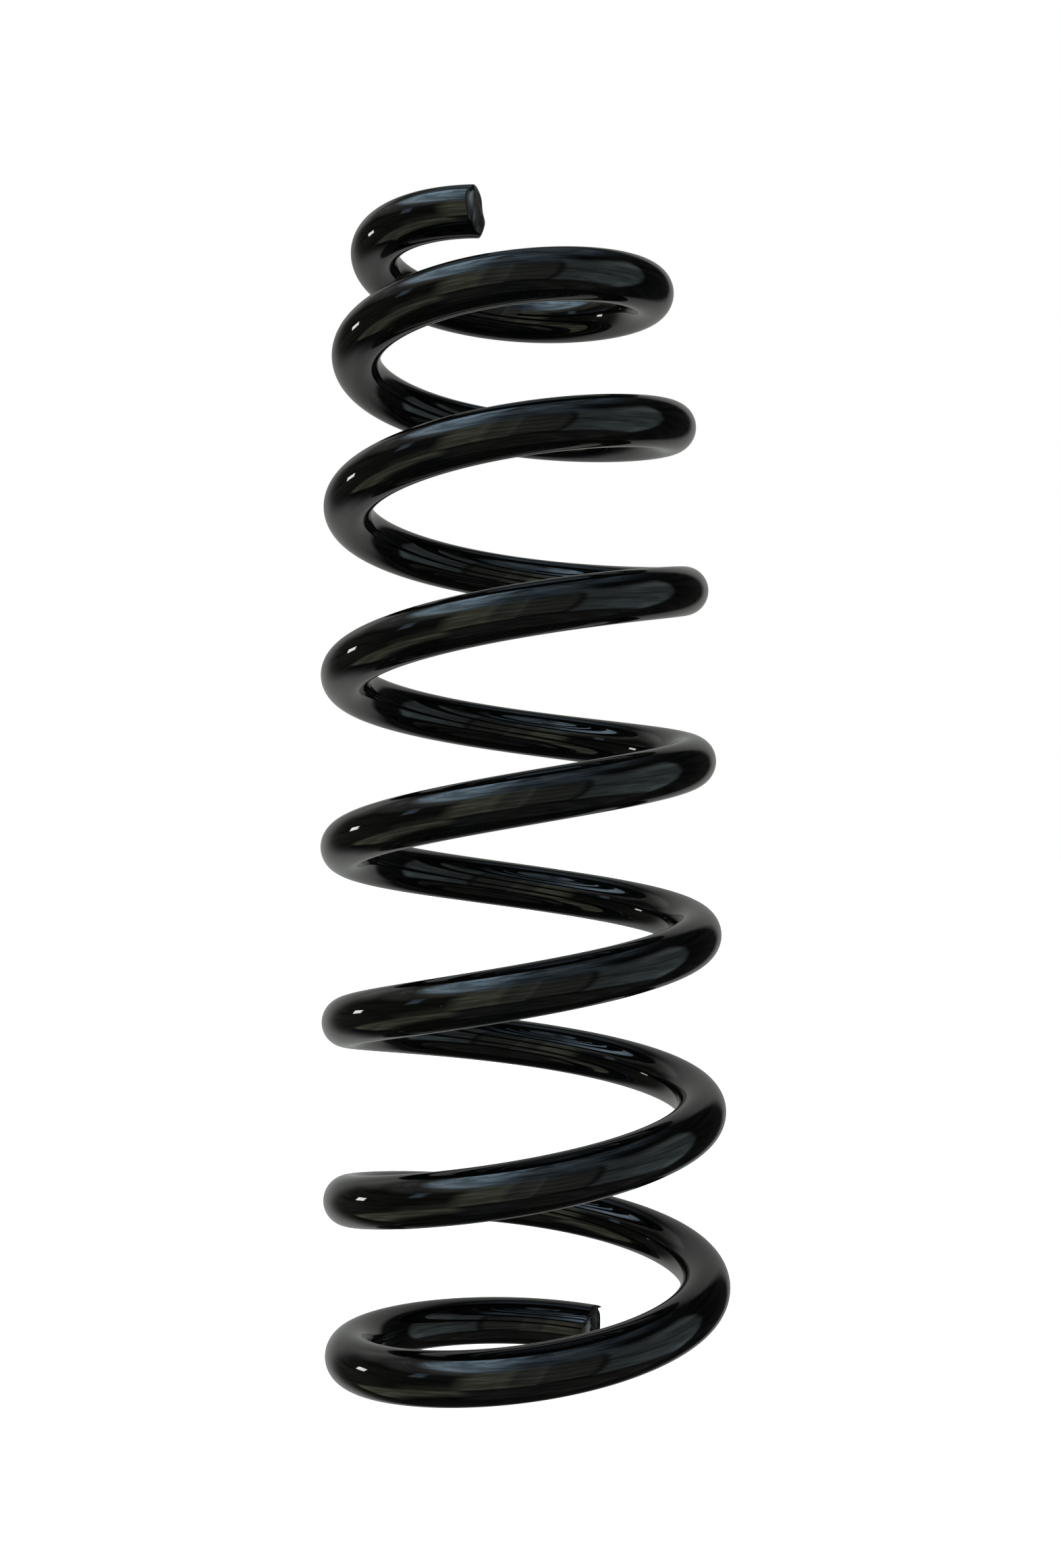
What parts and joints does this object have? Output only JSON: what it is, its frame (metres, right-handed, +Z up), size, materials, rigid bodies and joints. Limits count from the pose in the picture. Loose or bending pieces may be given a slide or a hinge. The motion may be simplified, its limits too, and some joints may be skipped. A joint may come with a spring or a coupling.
{
  "type": "coil spring",
  "caption": "Right-handed coil spring of round painted steel bar with plain cut ends; its upper coils are drawn in, and it shortens under load.",
  "frame": {"origin": "on the coil axis, level with the lowest point of the bar", "axes": "+Z up along the coil axis, from the wide lower end to the drawn-in upper end; -Y is the front, where the upper end of the bar is"},
  "size_m": [0.1146, 0.1146, 0.3372],
  "materials": {
    "black_paint": "gloss"
  },
  "bodies": {
    "lower_end_coil": {"lower_end_coil": "black_paint"},
    "turn_1_front_right": {"turn_1_front_right": "black_paint"},
    "turn_1_back_right": {"turn_1_back_right": "black_paint"},
    "turn_2_back": {"turn_2_back": "black_paint"},
    "turn_2_back_left": {"turn_2_back_left": "black_paint"},
    "turn_2_front_left": {"turn_2_front_left": "black_paint"},
    "turn_2_front": {"turn_2_front": "black_paint"},
    "turn_2_front_right": {"turn_2_front_right": "black_paint"},
    "turn_2_back_right": {"turn_2_back_right": "black_paint"},
    "turn_3_back": {"turn_3_back": "black_paint"},
    "turn_3_back_left": {"turn_3_back_left": "black_paint"},
    "turn_3_front_left": {"turn_3_front_left": "black_paint"},
    "turn_3_front": {"turn_3_front": "black_paint"},
    "turn_3_front_right": {"turn_3_front_right": "black_paint"},
    "turn_3_back_right": {"turn_3_back_right": "black_paint"},
    "turn_4_back": {"turn_4_back": "black_paint"},
    "turn_4_back_left": {"turn_4_back_left": "black_paint"},
    "turn_4_front_left": {"turn_4_front_left": "black_paint"},
    "turn_4_front": {"turn_4_front": "black_paint"},
    "turn_4_front_right": {"turn_4_front_right": "black_paint"},
    "turn_4_back_right": {"turn_4_back_right": "black_paint"},
    "turn_5_back": {"turn_5_back": "black_paint"},
    "turn_5_back_left": {"turn_5_back_left": "black_paint"},
    "turn_5_front_left": {"turn_5_front_left": "black_paint"},
    "turn_5_front": {"turn_5_front": "black_paint"},
    "turn_5_front_right": {"turn_5_front_right": "black_paint"},
    "turn_5_back_right": {"turn_5_back_right": "black_paint"},
    "turn_6_back": {"turn_6_back": "black_paint"},
    "turn_6_back_left": {"turn_6_back_left": "black_paint"},
    "turn_6_front_left": {"turn_6_front_left": "black_paint"},
    "turn_6_front": {"turn_6_front": "black_paint"},
    "turn_6_front_right": {"turn_6_front_right": "black_paint"},
    "turn_6_back_right": {"turn_6_back_right": "black_paint"},
    "turn_7_back": {"turn_7_back": "black_paint"},
    "turn_7_back_left": {"turn_7_back_left": "black_paint"},
    "turn_7_front_left": {"turn_7_front_left": "black_paint"},
    "turn_7_front": {"turn_7_front": "black_paint"},
    "turn_7_front_right": {"turn_7_front_right": "black_paint"},
    "upper_end_coil": {"upper_end_coil": "black_paint"}
  },
  "joints": [
    {"name": "close_turn_1_front_right", "type": "slide", "parent": "lower_end_coil", "child": "turn_1_front_right", "axis": [0, 0, -1], "range_m": [0, 0.0044], "stiffness_N_per_m": 666000},
    {"name": "close_turn_1_back_right", "type": "slide", "parent": "turn_1_front_right", "child": "turn_1_back_right", "axis": [0, 0, -1], "range_m": [0, 0.0044], "stiffness_N_per_m": 666000},
    {"name": "close_turn_2_back", "type": "slide", "parent": "turn_1_back_right", "child": "turn_2_back", "axis": [0, 0, -1], "range_m": [0, 0.00439], "stiffness_N_per_m": 667000},
    {"name": "close_turn_2_back_left", "type": "slide", "parent": "turn_2_back", "child": "turn_2_back_left", "axis": [0, 0, -1], "range_m": [0, 0.00439], "stiffness_N_per_m": 667000},
    {"name": "close_turn_2_front_left", "type": "slide", "parent": "turn_2_back_left", "child": "turn_2_front_left", "axis": [0, 0, -1], "range_m": [0, 0.00439], "stiffness_N_per_m": 668000},
    {"name": "close_turn_2_front", "type": "slide", "parent": "turn_2_front_left", "child": "turn_2_front", "axis": [0, 0, -1], "range_m": [0, 0.00438], "stiffness_N_per_m": 669000},
    {"name": "close_turn_2_front_right", "type": "slide", "parent": "turn_2_front", "child": "turn_2_front_right", "axis": [0, 0, -1], "range_m": [0, 0.00438], "stiffness_N_per_m": 670000},
    {"name": "close_turn_2_back_right", "type": "slide", "parent": "turn_2_front_right", "child": "turn_2_back_right", "axis": [0, 0, -1], "range_m": [0, 0.00437], "stiffness_N_per_m": 671000},
    {"name": "close_turn_3_back", "type": "slide", "parent": "turn_2_back_right", "child": "turn_3_back", "axis": [0, 0, -1], "range_m": [0, 0.00436], "stiffness_N_per_m": 672000},
    {"name": "close_turn_3_back_left", "type": "slide", "parent": "turn_3_back", "child": "turn_3_back_left", "axis": [0, 0, -1], "range_m": [0, 0.00435], "stiffness_N_per_m": 673000},
    {"name": "close_turn_3_front_left", "type": "slide", "parent": "turn_3_back_left", "child": "turn_3_front_left", "axis": [0, 0, -1], "range_m": [0, 0.00434], "stiffness_N_per_m": 674000},
    {"name": "close_turn_3_front", "type": "slide", "parent": "turn_3_front_left", "child": "turn_3_front", "axis": [0, 0, -1], "range_m": [0, 0.00433], "stiffness_N_per_m": 676000},
    {"name": "close_turn_3_front_right", "type": "slide", "parent": "turn_3_front", "child": "turn_3_front_right", "axis": [0, 0, -1], "range_m": [0, 0.00432], "stiffness_N_per_m": 678000},
    {"name": "close_turn_3_back_right", "type": "slide", "parent": "turn_3_front_right", "child": "turn_3_back_right", "axis": [0, 0, -1], "range_m": [0, 0.00431], "stiffness_N_per_m": 680000},
    {"name": "close_turn_4_back", "type": "slide", "parent": "turn_3_back_right", "child": "turn_4_back", "axis": [0, 0, -1], "range_m": [0, 0.00429], "stiffness_N_per_m": 682000},
    {"name": "close_turn_4_back_left", "type": "slide", "parent": "turn_4_back", "child": "turn_4_back_left", "axis": [0, 0, -1], "range_m": [0, 0.00428], "stiffness_N_per_m": 685000},
    {"name": "close_turn_4_front_left", "type": "slide", "parent": "turn_4_back_left", "child": "turn_4_front_left", "axis": [0, 0, -1], "range_m": [0, 0.00426], "stiffness_N_per_m": 688000},
    {"name": "close_turn_4_front", "type": "slide", "parent": "turn_4_front_left", "child": "turn_4_front", "axis": [0, 0, -1], "range_m": [0, 0.00424], "stiffness_N_per_m": 692000},
    {"name": "close_turn_4_front_right", "type": "slide", "parent": "turn_4_front", "child": "turn_4_front_right", "axis": [0, 0, -1], "range_m": [0, 0.00421], "stiffness_N_per_m": 696000},
    {"name": "close_turn_4_back_right", "type": "slide", "parent": "turn_4_front_right", "child": "turn_4_back_right", "axis": [0, 0, -1], "range_m": [0, 0.00418], "stiffness_N_per_m": 701000},
    {"name": "close_turn_5_back", "type": "slide", "parent": "turn_4_back_right", "child": "turn_5_back", "axis": [0, 0, -1], "range_m": [0, 0.00415], "stiffness_N_per_m": 706000},
    {"name": "close_turn_5_back_left", "type": "slide", "parent": "turn_5_back", "child": "turn_5_back_left", "axis": [0, 0, -1], "range_m": [0, 0.00411], "stiffness_N_per_m": 712000},
    {"name": "close_turn_5_front_left", "type": "slide", "parent": "turn_5_back_left", "child": "turn_5_front_left", "axis": [0, 0, -1], "range_m": [0, 0.00407], "stiffness_N_per_m": 719000},
    {"name": "close_turn_5_front", "type": "slide", "parent": "turn_5_front_left", "child": "turn_5_front", "axis": [0, 0, -1], "range_m": [0, 0.00403], "stiffness_N_per_m": 727000},
    {"name": "close_turn_5_front_right", "type": "slide", "parent": "turn_5_front", "child": "turn_5_front_right", "axis": [0, 0, -1], "range_m": [0, 0.00398], "stiffness_N_per_m": 737000},
    {"name": "close_turn_5_back_right", "type": "slide", "parent": "turn_5_front_right", "child": "turn_5_back_right", "axis": [0, 0, -1], "range_m": [0, 0.00392], "stiffness_N_per_m": 747000},
    {"name": "close_turn_6_back", "type": "slide", "parent": "turn_5_back_right", "child": "turn_6_back", "axis": [0, 0, -1], "range_m": [0, 0.00385], "stiffness_N_per_m": 760000},
    {"name": "close_turn_6_back_left", "type": "slide", "parent": "turn_6_back", "child": "turn_6_back_left", "axis": [0, 0, -1], "range_m": [0, 0.00378], "stiffness_N_per_m": 775000},
    {"name": "close_turn_6_front_left", "type": "slide", "parent": "turn_6_back_left", "child": "turn_6_front_left", "axis": [0, 0, -1], "range_m": [0, 0.0037], "stiffness_N_per_m": 792000},
    {"name": "close_turn_6_front", "type": "slide", "parent": "turn_6_front_left", "child": "turn_6_front", "axis": [0, 0, -1], "range_m": [0, 0.00361], "stiffness_N_per_m": 811000},
    {"name": "close_turn_6_front_right", "type": "slide", "parent": "turn_6_front", "child": "turn_6_front_right", "axis": [0, 0, -1], "range_m": [0, 0.00351], "stiffness_N_per_m": 835000},
    {"name": "close_turn_6_back_right", "type": "slide", "parent": "turn_6_front_right", "child": "turn_6_back_right", "axis": [0, 0, -1], "range_m": [0, 0.0034], "stiffness_N_per_m": 862000},
    {"name": "close_turn_7_back", "type": "slide", "parent": "turn_6_back_right", "child": "turn_7_back", "axis": [0, 0, -1], "range_m": [0, 0.00327], "stiffness_N_per_m": 895000},
    {"name": "close_turn_7_back_left", "type": "slide", "parent": "turn_7_back", "child": "turn_7_back_left", "axis": [0, 0, -1], "range_m": [0, 0.00314], "stiffness_N_per_m": 934000},
    {"name": "close_turn_7_front_left", "type": "slide", "parent": "turn_7_back_left", "child": "turn_7_front_left", "axis": [0, 0, -1], "range_m": [0, 0.00298], "stiffness_N_per_m": 982000},
    {"name": "close_turn_7_front", "type": "slide", "parent": "turn_7_front_left", "child": "turn_7_front", "axis": [0, 0, -1], "range_m": [0, 0.00282], "stiffness_N_per_m": 1039000},
    {"name": "close_turn_7_front_right", "type": "slide", "parent": "turn_7_front", "child": "turn_7_front_right", "axis": [0, 0, -1], "range_m": [0, 0.00264], "stiffness_N_per_m": 1110000},
    {"name": "close_upper_end_coil", "type": "slide", "parent": "turn_7_front_right", "child": "upper_end_coil", "axis": [0, 0, -1], "range_m": [0, 0.00244], "stiffness_N_per_m": 1199000}
  ],
  "couplings": [
    {"joint": "close_turn_1_back_right", "follows": "close_turn_1_front_right", "ratio": 0.9993},
    {"joint": "close_turn_2_back", "follows": "close_turn_1_front_right", "ratio": 0.9986},
    {"joint": "close_turn_2_back_left", "follows": "close_turn_1_front_right", "ratio": 0.9977},
    {"joint": "close_turn_2_front_left", "follows": "close_turn_1_front_right", "ratio": 0.9967},
    {"joint": "close_turn_2_front", "follows": "close_turn_1_front_right", "ratio": 0.9956},
    {"joint": "close_turn_2_front_right", "follows": "close_turn_1_front_right", "ratio": 0.9943},
    {"joint": "close_turn_2_back_right", "follows": "close_turn_1_front_right", "ratio": 0.9929},
    {"joint": "close_turn_3_back", "follows": "close_turn_1_front_right", "ratio": 0.9912},
    {"joint": "close_turn_3_back_left", "follows": "close_turn_1_front_right", "ratio": 0.9894},
    {"joint": "close_turn_3_front_left", "follows": "close_turn_1_front_right", "ratio": 0.9873},
    {"joint": "close_turn_3_front", "follows": "close_turn_1_front_right", "ratio": 0.9849},
    {"joint": "close_turn_3_front_right", "follows": "close_turn_1_front_right", "ratio": 0.9822},
    {"joint": "close_turn_3_back_right", "follows": "close_turn_1_front_right", "ratio": 0.9791},
    {"joint": "close_turn_4_back", "follows": "close_turn_1_front_right", "ratio": 0.9757},
    {"joint": "close_turn_4_back_left", "follows": "close_turn_1_front_right", "ratio": 0.9718},
    {"joint": "close_turn_4_front_left", "follows": "close_turn_1_front_right", "ratio": 0.9674},
    {"joint": "close_turn_4_front", "follows": "close_turn_1_front_right", "ratio": 0.9624},
    {"joint": "close_turn_4_front_right", "follows": "close_turn_1_front_right", "ratio": 0.9567},
    {"joint": "close_turn_4_back_right", "follows": "close_turn_1_front_right", "ratio": 0.9503},
    {"joint": "close_turn_5_back", "follows": "close_turn_1_front_right", "ratio": 0.9431},
    {"joint": "close_turn_5_back_left", "follows": "close_turn_1_front_right", "ratio": 0.935},
    {"joint": "close_turn_5_front_left", "follows": "close_turn_1_front_right", "ratio": 0.9258},
    {"joint": "close_turn_5_front", "follows": "close_turn_1_front_right", "ratio": 0.9155},
    {"joint": "close_turn_5_front_right", "follows": "close_turn_1_front_right", "ratio": 0.9038},
    {"joint": "close_turn_5_back_right", "follows": "close_turn_1_front_right", "ratio": 0.8908},
    {"joint": "close_turn_6_back", "follows": "close_turn_1_front_right", "ratio": 0.8761},
    {"joint": "close_turn_6_back_left", "follows": "close_turn_1_front_right", "ratio": 0.8596},
    {"joint": "close_turn_6_front_left", "follows": "close_turn_1_front_right", "ratio": 0.8412},
    {"joint": "close_turn_6_front", "follows": "close_turn_1_front_right", "ratio": 0.8206},
    {"joint": "close_turn_6_front_right", "follows": "close_turn_1_front_right", "ratio": 0.7976},
    {"joint": "close_turn_6_back_right", "follows": "close_turn_1_front_right", "ratio": 0.7721},
    {"joint": "close_turn_7_back", "follows": "close_turn_1_front_right", "ratio": 0.7439},
    {"joint": "close_turn_7_back_left", "follows": "close_turn_1_front_right", "ratio": 0.7126},
    {"joint": "close_turn_7_front_left", "follows": "close_turn_1_front_right", "ratio": 0.6782},
    {"joint": "close_turn_7_front", "follows": "close_turn_1_front_right", "ratio": 0.6406},
    {"joint": "close_turn_7_front_right", "follows": "close_turn_1_front_right", "ratio": 0.5996},
    {"joint": "close_upper_end_coil", "follows": "close_turn_1_front_right", "ratio": 0.5553}
  ]
}
